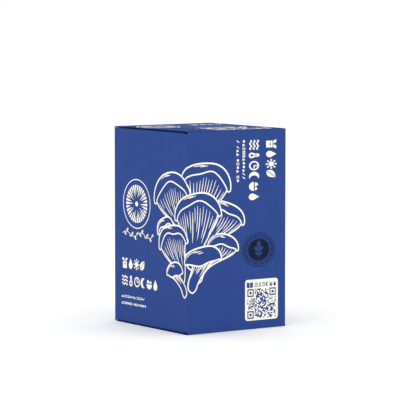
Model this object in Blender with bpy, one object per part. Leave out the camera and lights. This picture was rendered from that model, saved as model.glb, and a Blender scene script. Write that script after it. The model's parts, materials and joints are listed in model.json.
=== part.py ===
"""Carton of a mushroom grow kit, with the bagged grow block that stands in it.

The carton is one folded blank of board. Its lid folds at the top of the back wall and tucks in behind the
front wall, over two dust flaps. The bottom closes the same way, the other way round.
Metres, +Z up, origin under the middle of the footprint, on the surface it stands on. The front wall is on -Y.
"""

from math import atan2, cos, pi, radians, sin

import bmesh
import bpy
from mathutils import Matrix, Vector

MM = 0.001

# Outside of the closed carton.
WIDTH = 122 * MM  # front and back walls, along X
DEPTH = 134 * MM  # side walls, along Y
HEIGHT = 203 * MM
BOARD = 0.8 * MM
GAP = 0.3 * MM  # between pieces that touch
AIR = 0.9 * MM  # between a closing panel and the dust flaps that it covers
CORNER_RADIUS = 1.0 * MM
INSIDE_RADIUS = 0.3 * MM

# Creases. Each axis lies one board in from the outside faces, and a bead of that radius rolls round it.
BEAD_END = BOARD + GAP
SIDE_CREASE_X = WIDTH / 2 - BOARD
LID_CREASE_Y = DEPTH / 2 - BOARD
LID_CREASE_Z = HEIGHT - BOARD
DUST_CREASE_Z = LID_CREASE_Z - AIR - BOARD
FOOT_CREASE_Z = BOARD
FOOT_DUST_CREASE_Z = FOOT_CREASE_Z + AIR + BOARD

# Closing panels, and the tuck flaps at their ends.
CLOSING_WIDTH = WIDTH - 1 * MM
CLOSING_REACH = DEPTH - 3 * BOARD - GAP  # from a closing panel's crease to its tuck flap's crease
CLOSING_CORNER = 4 * MM
SLIT = 17 * MM  # lock slit at each end of the tuck crease
TUCK_WIDTH = WIDTH - 4 * MM
TUCK_REACH = 21 * MM
TUCK_CORNER = 10 * MM
TUCK_DRAFT = 1.5 * MM
LID_TUCK_FOLD = radians(100)  # past square, so that the tip leads inward
FOOT_TUCK_FOLD = radians(90)  # the block holds this one flat on the back wall

# Dust flaps, narrower towards their tips.
DUST_REACH = 55 * MM
DUST_END = DEPTH / 2 - 4.5 * MM  # half a dust flap's crease
DUST_SHOULDER = 16 * MM
DUST_STEP = 7 * MM
DUST_TAPER = 22 * MM
DUST_CORNER = 7 * MM

GLUE_FLAP = 16 * MM

# What stands inside.
FILM = 0.5 * MM  # the bag's thin film, with its wrinkles
BAG_X = WIDTH / 2 - 4 * MM
BAG_FRONT = -DEPTH / 2 + 5 * MM
BAG_BACK = DEPTH / 2 - 3 * BOARD - 2 * GAP
BAG_FLOOR = FOOT_DUST_CREASE_Z + GAP
BLOCK_EDGE = 7 * MM
BLOCK_TOP = 166 * MM
HEAD_TOP = 181 * MM
HEAD_EDGE = 3 * MM
HEAD_FRONT = BAG_FRONT + BLOCK_EDGE
RIM_DROP = 3 * MM
PATCH = 46 * MM
PATCH_CORNER = 4 * MM
PATCH_THICK = 0.6 * MM
PATCH_Y = 12 * MM
TAPE_SIZE = (24 * MM, 20 * MM, 0.4 * MM)
TAPE_INSET = 4 * MM

# Linear colours, and how rough each surface is.
BOARD_BLUE = (0.038, 0.080, 0.290)
BOARD_ROUGHNESS = 0.45
MYCELIUM = (0.72, 0.66, 0.54)
MYCELIUM_ROUGHNESS = 0.9
FILM_GREY = (0.85, 0.87, 0.88)
FILM_ROUGHNESS = 0.2
FLEECE_WHITE = (0.9, 0.9, 0.88)
FLEECE_ROUGHNESS = 0.8
TAPE_AMBER = (0.8, 0.78, 0.7)
TAPE_ROUGHNESS = 0.25


def finish(name, colour, roughness):
    made = bpy.data.materials.new(name)
    made.use_nodes = True
    shader = made.node_tree.nodes["Principled BSDF"]
    shader.inputs["Base Color"].default_value = (*colour, 1)
    shader.inputs["Roughness"].default_value = roughness
    shader.inputs["Metallic"].default_value = 0
    return made


def add_mesh(name, bm, material=None):
    """A new object from a bmesh, with its faces turned outward."""
    bmesh.ops.recalc_face_normals(bm, faces=bm.faces)
    mesh = bpy.data.meshes.new(name)
    bm.to_mesh(mesh)
    bm.free()
    if material:
        mesh.materials.append(material)
    obj = bpy.data.objects.new(name, mesh)
    bpy.context.scene.collection.objects.link(obj)
    return obj


def add_crease(name, location, rotation, parent=None):
    """An empty on a fold's axis, which is its own X axis. Its Y axis leads into the flap."""
    made = bpy.data.objects.new(name, None)
    made.location = location
    made.rotation_euler = rotation
    made.parent = parent
    bpy.context.scene.collection.objects.link(made)
    return made


def rounded(corners, steps=6):
    """A closed outline from (x, y, radius) corners, each round one drawn as an arc."""
    outline = []
    for i, (x, y, radius) in enumerate(corners):
        here = Vector((x, y))
        if radius == 0:
            outline.append(here)
            continue
        before = (Vector(corners[i - 1][:2]) - here).normalized()
        after = (Vector(corners[(i + 1) % len(corners)][:2]) - here).normalized()
        half = before.angle(after) / 2
        centre = here + (before + after).normalized() * radius / sin(half)
        start = here + before * radius * cos(half) / sin(half) - centre
        end = here + after * radius * cos(half) / sin(half) - centre
        first = atan2(start.y, start.x)
        turn = -start.angle_signed(end)
        for k in range(steps + 1):
            angle = first + turn * k / steps
            outline.append(centre + Vector((cos(angle), sin(angle))) * radius)
    return outline


def prism(outline, low, high):
    bm = bmesh.new()
    base = bm.faces.new([bm.verts.new((x, y, low)) for x, y in outline])
    grown = bmesh.ops.extrude_face_region(bm, geom=[base])
    top = [v for v in grown["geom"] if isinstance(v, bmesh.types.BMVert)]
    bmesh.ops.translate(bm, verts=top, vec=(0, 0, high - low))
    return bm


def box(low, high):
    outline = [(low[0], low[1]), (high[0], low[1]), (high[0], high[1]), (low[0], high[1])]
    return prism(outline, low[2], high[2])


def round_rectangle(size_x, size_y, radius):
    x = size_x / 2
    y = size_y / 2
    return rounded([(-x, -y, radius), (x, -y, radius), (x, y, radius), (-x, y, radius)], steps=4)


def combine(target, tool, operation):
    """A Boolean on target. Its tool isn't part of the model."""
    step = target.modifiers.new(tool.name, "BOOLEAN")
    step.operation = operation
    step.object = tool
    tool.hide_render = True
    tool.display_type = "WIRE"


def soften(obj, width, segments):
    step = obj.modifiers.new("soft edges", "BEVEL")
    step.width = width
    step.segments = segments


def add_flap(name, outline, crease, crease_length):
    """A panel of board on its crease, printed side up at z = BOARD, with the bead of its fold."""
    flap = add_mesh(name, prism(outline, 0, BOARD), finish(name, BOARD_BLUE, BOARD_ROUGHNESS))
    flap.parent = crease
    bm = bmesh.new()
    bmesh.ops.create_cone(
        bm,
        cap_ends=True,
        segments=16,
        radius1=BOARD,
        radius2=BOARD,
        depth=crease_length,
        matrix=Matrix.Rotation(pi / 2, 4, "Y"),
    )
    bead = add_mesh(f"{name}_bead", bm)
    bead.parent = crease
    combine(flap, bead, "UNION")


def closing_outline():
    """Lid or bottom: its two free corners reach the wall, and the tuck flap's bead lies between them."""
    half = CLOSING_WIDTH / 2
    inner = WIDTH / 2 - SLIT
    tip = CLOSING_REACH + BOARD
    set_back = CLOSING_REACH - BEAD_END
    right = [(half, 0, 0), (half, tip, CLOSING_CORNER), (inner, tip, 0), (inner, set_back, 0)]
    left = [(-x, y, radius) for x, y, radius in reversed(right)]
    return rounded(right + left)


def tuck_outline():
    """Tuck flap: full width below its crease, with a locking shoulder at each side."""
    inner = WIDTH / 2 - SLIT - GAP
    half = TUCK_WIDTH / 2
    shoulder = AIR + BOARD + GAP
    right = [
        (inner, 0, 0),
        (inner, shoulder, 0),
        (half, shoulder, 0),
        (half - TUCK_DRAFT, TUCK_REACH, TUCK_CORNER),
    ]
    left = [(-x, y, radius) for x, y, radius in reversed(right)]
    return rounded(right + left)


def dust_outline(tuck_side):
    """Dust flap. tuck_side (+1 or -1) is the end of its crease that lies at the tuck flap."""
    corners = [
        (-DUST_END, 0, 0),
        (DUST_END, 0, 0),
        (DUST_END, DUST_SHOULDER, 0),
        (DUST_END - DUST_STEP, DUST_SHOULDER + DUST_STEP, 0),
        (DUST_END - 2 * DUST_STEP, DUST_REACH, DUST_CORNER),
        (-DUST_END + DUST_TAPER, DUST_REACH, DUST_CORNER),
    ]
    return rounded([(x * tuck_side, y, radius) for x, y, radius in corners[::tuck_side]])


def add_sleeve():
    """The four walls, folded and glued to a tube, each cut back to where its folds begin."""
    printed = finish("carton_sleeve", BOARD_BLUE, BOARD_ROUGHNESS)
    outside = round_rectangle(WIDTH, DEPTH, CORNER_RADIUS)
    sleeve = add_mesh("carton_sleeve", prism(outside, 0, HEIGHT), printed)
    hollow = round_rectangle(WIDTH - 2 * BOARD, DEPTH - 2 * BOARD, INSIDE_RADIUS)
    combine(sleeve, add_mesh("sleeve_hollow", prism(hollow, -HEIGHT, 2 * HEIGHT)), "DIFFERENCE")

    side_foot = FOOT_DUST_CREASE_Z + BEAD_END
    side_top = DUST_CREASE_Z - BEAD_END
    glue_low = (WIDTH / 2 - 2 * BOARD, LID_CREASE_Y - GLUE_FLAP, side_foot)
    glue_high = (WIDTH / 2 - BOARD / 2, DEPTH / 2 - BOARD / 2, side_top)
    combine(sleeve, add_mesh("glue_flap", box(glue_low, glue_high)), "UNION")

    beyond = DEPTH
    wall = DEPTH / 2 - BOARD
    cuts = {
        "front_foot": (-beyond, -wall, -HEIGHT, FOOT_CREASE_Z + BEAD_END),
        "front_top": (-beyond, -wall, HEIGHT - GAP, 2 * HEIGHT),
        "side_foot": (-wall, wall, -HEIGHT, side_foot),
        "side_top": (-wall, wall, side_top, 2 * HEIGHT),
        "back_foot": (wall, beyond, -HEIGHT, GAP),
        "back_top": (wall, beyond, LID_CREASE_Z - BEAD_END, 2 * HEIGHT),
    }
    for name, (y_low, y_high, z_low, z_high) in cuts.items():
        cutter = add_mesh(f"cut_{name}", box((-WIDTH, y_low, z_low), (WIDTH, y_high, z_high)))
        combine(sleeve, cutter, "DIFFERENCE")


def add_closure(prefix, crease, dust_z, up, tuck_fold):
    """A closing panel with its tuck flap, over two dust flaps. up is +1 for the lid, -1 for the bottom."""
    add_flap(f"{prefix}_panel", closing_outline(), crease, CLOSING_WIDTH)
    tuck_crease = add_crease(f"{prefix}_tuck_crease", (0, CLOSING_REACH, 0), (-tuck_fold, 0, 0), crease)
    add_flap(f"{prefix}_tuck_flap", tuck_outline(), tuck_crease, WIDTH - 2 * (SLIT + GAP))
    for side, sign in (("left", -1), ("right", 1)):
        turn = ((1 - up) * pi / 2, 0, up * sign * pi / 2)
        dust_crease = add_crease(f"{prefix}_dust_{side}_crease", (sign * SIDE_CREASE_X, 0, dust_z), turn)
        add_flap(f"{prefix}_dust_flap_{side}", dust_outline(-sign), dust_crease, 2 * DUST_END)


def add_block():
    inset = FILM + GAP
    low = (-BAG_X + inset, BAG_FRONT + inset, BAG_FLOOR + inset)
    high = (BAG_X - inset, BAG_BACK - inset, BLOCK_TOP)
    block = add_mesh("grow_block", box(low, high), finish("grow_block", MYCELIUM, MYCELIUM_ROUGHNESS))
    soften(block, BLOCK_EDGE, 3)


def add_bag():
    """The bag clings to the block. Its long upper part is folded flat on top, joined along the back."""
    above = HEIGHT
    film = finish("grow_bag", FILM_GREY, FILM_ROUGHNESS)
    bag = add_mesh("grow_bag", box((-BAG_X, BAG_FRONT, BAG_FLOOR), (BAG_X, BAG_BACK, above)), film)
    soften(bag, BLOCK_EDGE + FILM + GAP, 3)
    low = (-BAG_X + FILM, BAG_FRONT + FILM, BAG_FLOOR + FILM)
    high = (BAG_X - FILM, BAG_BACK - FILM, 2 * above)
    hollow = add_mesh("bag_hollow", box(low, high))
    soften(hollow, BLOCK_EDGE + GAP, 3)
    combine(bag, hollow, "DIFFERENCE")
    fold_y = BAG_BACK - 2 * FILM
    rim = add_mesh("bag_rim", box((-WIDTH, -DEPTH, BLOCK_TOP - RIM_DROP), (WIDTH, fold_y, 2 * HEIGHT)))
    combine(bag, rim, "DIFFERENCE")
    back = add_mesh("bag_back", box((-WIDTH, -DEPTH, HEAD_TOP - HEAD_EDGE), (WIDTH, DEPTH, 2 * HEIGHT)))
    combine(bag, back, "DIFFERENCE")
    head_x = BAG_X - BLOCK_EDGE - 2 * FILM
    head = add_mesh(
        "bag_head", box((-head_x, HEAD_FRONT, BLOCK_TOP + GAP), (head_x, BAG_BACK - FILM / 2, HEAD_TOP))
    )
    combine(bag, head, "UNION")


def add_patch_and_tape():
    patch = add_mesh(
        "filter_patch",
        prism(round_rectangle(PATCH, PATCH, PATCH_CORNER), 0, PATCH_THICK),
        finish("filter_patch", FLEECE_WHITE, FLEECE_ROUGHNESS),
    )
    patch.location = (0, PATCH_Y, HEAD_TOP + GAP)
    tape_x, tape_y, tape_z = TAPE_SIZE
    clear = finish("closing_tape", TAPE_AMBER, TAPE_ROUGHNESS)
    tape = add_mesh("closing_tape", box((-tape_x / 2, 0, 0), (tape_x / 2, tape_y, tape_z)), clear)
    tape.location = (0, HEAD_FRONT + TAPE_INSET, HEAD_TOP + GAP)


def build():
    for obj in list(bpy.data.objects):
        bpy.data.objects.remove(obj)
    add_sleeve()
    lid_crease = add_crease("lid_crease", (0, LID_CREASE_Y, LID_CREASE_Z), (0, 0, pi))
    add_closure("lid", lid_crease, DUST_CREASE_Z, 1, LID_TUCK_FOLD)
    bottom_crease = add_crease("bottom_crease", (0, -LID_CREASE_Y, FOOT_CREASE_Z), (pi, 0, pi))
    add_closure("bottom", bottom_crease, FOOT_DUST_CREASE_Z, -1, FOOT_TUCK_FOLD)
    add_block()
    add_bag()
    add_patch_and_tape()


build()
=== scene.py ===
"""A boxed mushroom grow kit: a printed folding carton, shut, with the bagged substrate block inside it.

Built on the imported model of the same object. Metres, +Z up. The lid tucks in behind the front wall, on -Y.
"""

import json
from math import cos, pi, radians, sin
from random import Random

import bmesh
import bpy
from mathutils import Matrix, Vector, noise


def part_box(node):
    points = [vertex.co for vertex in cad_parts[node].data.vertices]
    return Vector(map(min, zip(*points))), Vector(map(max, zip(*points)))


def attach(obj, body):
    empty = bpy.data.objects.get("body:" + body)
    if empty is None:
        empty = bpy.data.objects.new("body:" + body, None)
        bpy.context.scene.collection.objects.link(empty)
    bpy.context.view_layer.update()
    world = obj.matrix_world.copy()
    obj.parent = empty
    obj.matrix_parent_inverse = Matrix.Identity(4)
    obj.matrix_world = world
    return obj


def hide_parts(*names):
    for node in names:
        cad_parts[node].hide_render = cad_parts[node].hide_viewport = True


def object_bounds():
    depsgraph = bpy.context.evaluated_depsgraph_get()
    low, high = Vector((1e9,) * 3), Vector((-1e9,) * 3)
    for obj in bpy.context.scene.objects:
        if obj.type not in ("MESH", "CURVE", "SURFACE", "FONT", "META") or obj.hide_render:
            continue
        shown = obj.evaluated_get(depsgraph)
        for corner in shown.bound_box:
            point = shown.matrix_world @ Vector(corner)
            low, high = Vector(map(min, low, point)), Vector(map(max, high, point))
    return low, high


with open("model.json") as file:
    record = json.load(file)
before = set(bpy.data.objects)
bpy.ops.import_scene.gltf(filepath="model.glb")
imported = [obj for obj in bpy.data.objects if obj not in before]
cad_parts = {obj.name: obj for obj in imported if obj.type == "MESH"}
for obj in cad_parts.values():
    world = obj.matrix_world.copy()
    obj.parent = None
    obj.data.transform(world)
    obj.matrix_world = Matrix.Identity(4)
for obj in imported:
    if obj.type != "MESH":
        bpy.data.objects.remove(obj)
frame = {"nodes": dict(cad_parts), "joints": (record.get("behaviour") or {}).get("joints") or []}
cad_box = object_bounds()
MM = 0.001


# --- Studio ---
# A white sweep under an even white sky, as for a catalogue shot, with one broad softbox on each side of the
# camera. The camera stands far back with a long lens, a little above the carton, turned to its left corner.

EYE = Vector((-1.385, -2.004, 0.333))
AIM = Vector((0.0005, -0.0003, 0.1278))
LENS = 213.8
SENSOR = 36.0
SOFTBOX_SIZE = 1.2
SOFTBOX_POWER = 3.0
SOFTBOXES = {"left softbox": (-1.6, -0.6, 1.3), "right softbox": (1.0, -1.8, 1.5)}
FLOOR_SIZE = 60.0
FLOOR_GLOW = 0.08  # lifts the floor to the white of the sky
FLOOR_DROP = 0.05 * MM  # keeps the floor clear of the carton's underside


def linear(code):
    """A linear colour from an sRGB hex value."""
    shares = [int(code[i : i + 2], 16) / 255 for i in (0, 2, 4)]
    return (*[s / 12.92 if s <= 0.04045 else ((s + 0.055) / 1.055) ** 2.4 for s in shares], 1.0)


def add(tree, kind, inputs=None, **settings):
    """Adds a node. Each input is given a value, or a socket that is linked to it."""
    made = tree.nodes.new(kind)
    for name, value in settings.items():
        setattr(made, name, value)
    for name, value in (inputs or {}).items():
        if isinstance(value, bpy.types.NodeSocket):
            tree.links.new(value, made.inputs[name])
        else:
            made.inputs[name].default_value = value
    return made


def finish(name, **inputs):
    """A new material: its name, its tree and its Principled shader, with that shader's plain values set."""
    made = bpy.data.materials.new(name)
    made.use_nodes = True
    shader = made.node_tree.nodes["Principled BSDF"]
    for socket, value in inputs.items():
        shader.inputs[socket.replace("_", " ")].default_value = value
    return made, made.node_tree, shader


def add_object(name, data, *materials):
    """An object in the scene, with its materials on its data."""
    for material in materials:
        data.materials.append(material)
    made = bpy.data.objects.new(name, data)
    bpy.context.scene.collection.objects.link(made)
    return made


def aim_from(thing, place):
    """Puts a lamp or the camera at a place, turned to the middle of the carton."""
    thing.location = place
    thing.rotation_euler = (AIM - Vector(place)).to_track_quat("-Z", "Y").to_euler()


def add_softbox(name, place):
    light = bpy.data.lights.new(name, "AREA")
    light.size = SOFTBOX_SIZE
    light.energy = SOFTBOX_POWER
    aim_from(add_object(name, light), place)


camera_data = bpy.data.cameras.new("camera")
camera_data.lens = LENS
camera_data.sensor_width = SENSOR
camera = add_object("camera", camera_data)
aim_from(camera, EYE)
bpy.context.scene.camera = camera

sky = bpy.data.worlds.new("white sky")
sky.use_nodes = True
sky.node_tree.nodes["Background"].inputs["Strength"].default_value = 1.0
sky.node_tree.nodes["Background"].inputs["Color"].default_value = (1, 1, 1, 1)
bpy.context.scene.world = sky
bpy.context.scene.view_settings.view_transform = "Standard"
for softbox, stand in SOFTBOXES.items():
    add_softbox(softbox, stand)

floor_mesh = bpy.data.meshes.new("floor")
half_floor = FLOOR_SIZE / 2
floor_plan = ((-1, -1), (1, -1), (1, 1), (-1, 1))
floor_corners = [(half_floor * x, half_floor * y, -FLOOR_DROP) for x, y in floor_plan]
floor_mesh.from_pydata(floor_corners, [], [(0, 1, 2, 3)])
paper_sweep, _, _ = finish(
    "matt white paper sweep",
    Base_Color=linear("FDFDFD"),
    Roughness=0.9,
    Emission_Color=linear("FFFFFF"),
    Emission_Strength=FLOOR_GLOW,
)
add_object("floor", floor_mesh, paper_sweep)


# --- Board ---
# The carton's blank is heavy folding board, 0.8 mm thick. Outside it has a clay coat, printed solid blue and
# sealed with a matt water varnish; inside it is bare white fibre; its die-cut edges show the pressed layers,
# coloured dark navy as painted shade.

FIBRE = 0.35 * MM  # width of a fibre clump, drawn coarser than real so that it shows
MOTTLE = 9 * MM  # size of the slow unevenness of the printed blue, from the press
NOISE_LOW = 0.3
NOISE_HIGH = 0.7


def grain(tree, size, detail=4.0, roughness=0.6):
    """Noise with features of the given size, on the piece's own coordinates."""
    place = add(tree, "ShaderNodeTexCoord")
    inputs = {"Vector": place.outputs["Object"], "Scale": 1 / size, "Detail": detail, "Roughness": roughness}
    return add(tree, "ShaderNodeTexNoise", inputs).outputs["Fac"]


def blend_colours(tree, factor, low, high):
    """The colour between low and high, over the middle of noise's range."""
    ramp = add(tree, "ShaderNodeValToRGB", {"Fac": factor})
    ramp.color_ramp.elements[0].position = NOISE_LOW
    ramp.color_ramp.elements[0].color = linear(low)
    ramp.color_ramp.elements[1].position = NOISE_HIGH
    ramp.color_ramp.elements[1].color = linear(high)
    return ramp.outputs["Color"]


def emboss(tree, shader, height, depth):
    """Bump of the given depth from a 0 to 1 height."""
    bump = add(tree, "ShaderNodeBump", {"Height": height, "Distance": depth, "Strength": 1.0})
    tree.links.new(bump.outputs["Normal"], shader.inputs["Normal"])


def spread(tree, factor, low, high):
    """A 0 to 1 factor mapped to low to high."""
    return add(tree, "ShaderNodeMapRange", {"Value": factor, "To Min": low, "To Max": high}).outputs["Result"]


def printed_board():
    """Solid blue offset print under matt varnish: even and flat, with a faint press mottle."""
    name = "clay-coated board, printed blue, matt varnish"
    material, tree, shader = finish(name, IOR=1.5, Specular_IOR_Level=0.05)
    colour = blend_colours(tree, grain(tree, MOTTLE), "2E4788", "314A8C")
    tree.links.new(colour, shader.inputs["Base Color"])
    tree.links.new(spread(tree, grain(tree, MOTTLE / 3), 0.6, 0.72), shader.inputs["Roughness"])
    emboss(tree, shader, grain(tree, FIBRE), 0.012 * MM)
    return material


def bare_board():
    """Uncoated bleached fibre, matt, a little warm, with a soft cloudy formation."""
    material, tree, shader = finish("bare white fibreboard", Roughness=0.88)
    colour = blend_colours(tree, grain(tree, 4 * MM), "E9E5DC", "F4F1EA")
    tree.links.new(colour, shader.inputs["Base Color"])
    emboss(tree, shader, grain(tree, FIBRE * 2), 0.03 * MM)
    return material


def cut_board_painted_shade():
    """Die-cut edge: pressed fibre layers, rough and dull, coloured dark navy as painted shade for the narrow
    gaps.
    """
    material, tree, shader = finish("die-cut board edge, painted shade dark", Roughness=0.95, Specular_IOR_Level=0.03)
    # The dark navy is painted shade: it stands for the shadow in the narrow gaps where these edges show.
    colour = blend_colours(tree, grain(tree, FIBRE), "0C1238", "1A2452")
    tree.links.new(colour, shader.inputs["Base Color"])
    emboss(tree, shader, grain(tree, FIBRE), 0.05 * MM)
    return material


board_faces = (printed_board(), bare_board(), cut_board_painted_shade())
PRINTED, BARE, CUT = range(3)


# --- Carton sleeve ---
# The front, back and side walls are one strip of the blank, creased at the four corners and closed by a glue
# flap inside. Where a closing flap folds from a wall, its end is pressed hollow under the fold's round bead.

crease = {joint["name"]: Vector(joint["pos_m"]) for joint in frame["joints"]}
sleeve_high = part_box("carton_sleeve")[1]
CARTON_TOP = cad_box[1][2]
BOARD = sleeve_high.y - crease["lid_hinge"].y
PRINT_ROOM = 0.06 * MM  # the board lies this far inside the solid's faces, and the ink in that space
WALL_X = sleeve_high.x - PRINT_ROOM
WALL_Y = sleeve_high.y - PRINT_ROOM
CORNER = 1.0 * MM
HALF_ARC = pi / 4 * CORNER
FRONT, RIGHT, BACK, LEFT = range(4)
wall_lengths = [2 * (WALL_X - CORNER), 2 * (WALL_Y - CORNER)] * 2
girth = sum(wall_lengths) + 8 * HALF_ARC


def wall_start(wall):
    """Distance round the carton at which a wall's flat part begins."""
    return sum(wall_lengths[:wall]) + (2 * wall + 1) * HALF_ARC


def on_wall(along, height, lift=0.0):
    """A point on the sleeve's outside.

    along runs from the corner at -X -Y: it is above 0 on the front wall and below 0 on the left wall.
    """
    along = along % girth
    wall = next(w for w in range(4) if along <= wall_start(w) + wall_lengths[w] + HALF_ARC or w == LEFT)
    start = wall_start(wall)
    flat = min(max(along, start), start + wall_lengths[wall])
    middle = start + wall_lengths[wall] / 2
    ahead = radians(270 + 90 * wall)
    facing = ahead + (along - flat) / CORNER
    depth = (WALL_Y if wall in (FRONT, BACK) else WALL_X) - CORNER
    out = Vector((cos(ahead), sin(ahead), 0)) * depth
    run = Vector((-sin(ahead), cos(ahead), 0)) * (flat - middle)
    return out + run + Vector((cos(facing), sin(facing), 0)) * (CORNER + lift) + Vector((0, 0, height))


# Where each wall ends: the height of its edge, and the part of its length where a flap folds from it.
LID_FOLD = crease["lid_hinge"].z
DUST_FOLD = crease["dust_flap_left_crease"].z
FREE_EDGE = sleeve_high.z
DUST_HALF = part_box("lid_dust_flap_left")[1].y
LID_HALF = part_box("lid_panel")[1].x
wall_tops = {
    FRONT: (FREE_EDGE, 0),
    RIGHT: (DUST_FOLD, DUST_HALF),
    BACK: (LID_FOLD, LID_HALF),
    LEFT: (DUST_FOLD, DUST_HALF),
}
wall_feet = {
    FRONT: (CARTON_TOP - LID_FOLD, LID_HALF),
    RIGHT: (CARTON_TOP - DUST_FOLD, DUST_HALF),
    BACK: (CARTON_TOP - FREE_EDGE, 0),
    LEFT: (CARTON_TOP - DUST_FOLD, DUST_HALF),
}
WALL_ROWS = 24
WALL_COLUMNS = 24
CORNER_STEPS = 4
END_STEPS = 5
SOCKET = BOARD + 0.02 * MM
GLUE_FLAP = 16 * MM
SPLIT = 1e-6  # half the space between the two columns at a change of the wall's end


def end_profile(edge, folded, up):
    """(depth, height) points across the end of a wall, from its outside in. A folded end is hollowed."""
    points = []
    for k in range(END_STEPS + 1):
        turn = pi / 2 * k / END_STEPS
        if folded:
            points.append((max(BOARD - SOCKET * cos(turn), 0), edge - up * SOCKET * sin(turn)))
        else:
            points.append((BOARD * k / END_STEPS, edge))
    return points


def sleeve_columns():
    """(along, wall) of every column of the sleeve's mesh, with two at each change of the wall's end."""
    columns = []
    for wall in range(4):
        start = wall_start(wall)
        length = wall_lengths[wall]
        columns += [(start - HALF_ARC + HALF_ARC * k / CORNER_STEPS, wall) for k in range(CORNER_STEPS)]
        stops = {start + length * k / WALL_COLUMNS for k in range(WALL_COLUMNS + 1)}
        for _, half in (wall_tops[wall], wall_feet[wall]):
            if half:
                for side in (-half, half):
                    stops |= {start + length / 2 + side + shift for shift in (-SPLIT, SPLIT)}
        columns += [(stop, wall) for stop in sorted(stops)]
        columns += [(start + length + HALF_ARC * (k + 1) / CORNER_STEPS, wall) for k in range(CORNER_STEPS)]
    return columns


def column_ring(along, wall):
    """One column's closed loop: up the outside, over the top end, down the inside, and over the foot."""
    off_middle = abs(along - wall_start(wall) - wall_lengths[wall] / 2)
    top = end_profile(wall_tops[wall][0], off_middle < wall_tops[wall][1], 1)
    foot = end_profile(wall_feet[wall][0], off_middle < wall_feet[wall][1], -1)
    rows = [CARTON_TOP * (k + 0.5) / WALL_ROWS for k in range(WALL_ROWS)]
    ring = [(0, z, PRINTED) for z in rows]
    ring += [(depth, z, CUT) for depth, z in top]
    ring += [(BOARD, z, BARE) for z in reversed(rows)]
    ring += [(depth, z, CUT) for depth, z in reversed(foot)]
    return [(on_wall(along, z, -depth), face) for depth, z, face in ring]


def mesh_data(name, mesh):
    """The finished mesh data of a bmesh."""
    data = bpy.data.meshes.new(name)
    mesh.to_mesh(data)
    mesh.free()
    return data


sleeve_mesh = bmesh.new()
rings = [column_ring(*column) for column in sleeve_columns()]
loops = [[sleeve_mesh.verts.new(point) for point, _ in ring] for ring in rings]
for here, there, ring in zip(loops, loops[1:] + loops[:1], rings):
    for k in range(len(ring)):
        after = (k + 1) % len(ring)
        wall_face = sleeve_mesh.faces.new((here[k], there[k], there[after], here[after]))
        on_end = ring[k][1] == CUT and ring[after][1] == CUT
        wall_face.material_index = CUT if on_end else min(ring[k][1], ring[after][1])
        wall_face.smooth = True
bmesh.ops.remove_doubles(sleeve_mesh, verts=sleeve_mesh.verts, dist=0.004 * MM)
bmesh.ops.recalc_face_normals(sleeve_mesh, faces=sleeve_mesh.faces)
glue_low = Vector((WALL_X - 2 * BOARD, crease["lid_hinge"].y - GLUE_FLAP, CARTON_TOP - DUST_FOLD + 2 * BOARD))
glue_high = Vector((WALL_X - BOARD * 0.9, WALL_Y - BOARD * 0.9, DUST_FOLD - 2 * BOARD))
glue_flap = bmesh.ops.create_cube(sleeve_mesh, size=1)["verts"]
for vert in glue_flap:
    vert.co = Vector([glue_low[k] if vert.co[k] < 0 else glue_high[k] for k in range(3)])
for wall_face in {face for vert in glue_flap for face in vert.link_faces}:
    wall_face.material_index = CUT if abs(wall_face.normal.x) < 0.5 else BARE
sleeve_data = mesh_data("sleeve", sleeve_mesh)
sleeve_data.set_sharp_from_angle(angle=radians(35))
sleeve = add_object("sleeve", sleeve_data, *board_faces)
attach(sleeve, "carton")
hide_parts("carton_sleeve")


# --- Closing flaps ---
# The lid and the bottom are alike: a panel with a tuck flap along its free edge and lock slits at that fold's
# ends, over two dust flaps. All are die-cut from the same board, printed on the outside.

BEVEL = 0.1 * MM
FOLD_REACH = 1.05 * BOARD
FACES_WAY = 0.3  # how far a face must point outward or inward to count as that side
top_creases = {
    "panel": crease["lid_hinge"],
    "tuck_flap": crease["tuck_flap_crease"],
    "dust_flap_left": crease["dust_flap_left_crease"],
    "dust_flap_right": crease["dust_flap_right_crease"],
}
top_bodies = {
    "panel": "lid",
    "tuck_flap": "tuck_flap",
    "dust_flap_left": "dust_flap_left",
    "dust_flap_right": "dust_flap_right",
}


def mark_sides(mesh, fold, axis):
    """Marks each face of a flap as printed, bare or cut, from where it points and how near its fold it is."""
    areas = {}
    for face in mesh.faces:
        key = tuple(round(value, 2) for value in face.normal)
        areas[key] = areas.get(key, 0) + face.calc_area()
    widest = Vector(max(areas, key=areas.get))
    middle = sum((vert.co for vert in mesh.verts), Vector()) / len(mesh.verts)
    inward = Vector((0, 0, CARTON_TOP / 2)) - middle
    printed = widest if widest.dot(inward) < 0 else -widest
    back = printed.cross(axis)
    if back.dot(fold - middle) < 0:
        back = -back
    for face in mesh.faces:
        away = face.calc_center_median() - fold
        near = (away - axis * away.dot(axis)).length < FOLD_REACH
        over = face.normal.dot(printed)
        behind = face.normal.dot(back)
        if over > FACES_WAY or (near and behind > FACES_WAY and over > -FACES_WAY):
            face.material_index = PRINTED
        elif over < -FACES_WAY or (near and abs(behind) > 0.1):
            face.material_index = BARE
        else:
            face.material_index = CUT


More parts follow.
